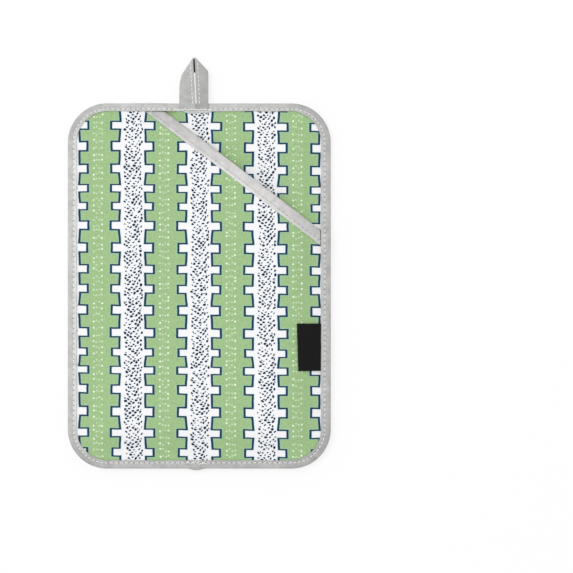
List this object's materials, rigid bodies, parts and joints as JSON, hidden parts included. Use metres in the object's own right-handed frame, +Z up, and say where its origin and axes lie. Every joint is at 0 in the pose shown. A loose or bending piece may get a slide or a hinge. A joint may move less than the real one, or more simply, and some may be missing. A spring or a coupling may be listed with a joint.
{
  "type": "pocket pot holder",
  "caption": "Rectangular quilted pot holder with rounded corners, a slanting hand pocket on its printed face, bound edges, a side label and a folded hanging loop.",
  "frame": {"origin": "middle of the holder's outline on the table plane, on the flat crown of the quilted diamond that it rests on there", "axes": "+Z up, from the quilted back to the pocket; +Y along the holder towards the hanging loop; +X to the side with the label"},
  "size_m": [0.18, 0.2809, 0.0185],
  "materials": {
    "silver_cloth": "satin silver-coated heat cloth, quilted in diamonds",
    "wadding": "loose fibre batting",
    "printed_cotton": "plain-weave cotton printed with castellated green and white stripes",
    "binding_tape": "grey twill tape, topstitched",
    "woven_label": "black woven tape, bare"
  },
  "bodies": {
    "root": {"back_cover": "silver_cloth", "wadding": "wadding", "front_panel": "printed_cotton", "pocket_panel": "printed_cotton", "pocket_binding": "binding_tape", "edge_binding": "binding_tape", "hanging_loop": "binding_tape", "side_label": "woven_label"}
  },
  "joints": []
}
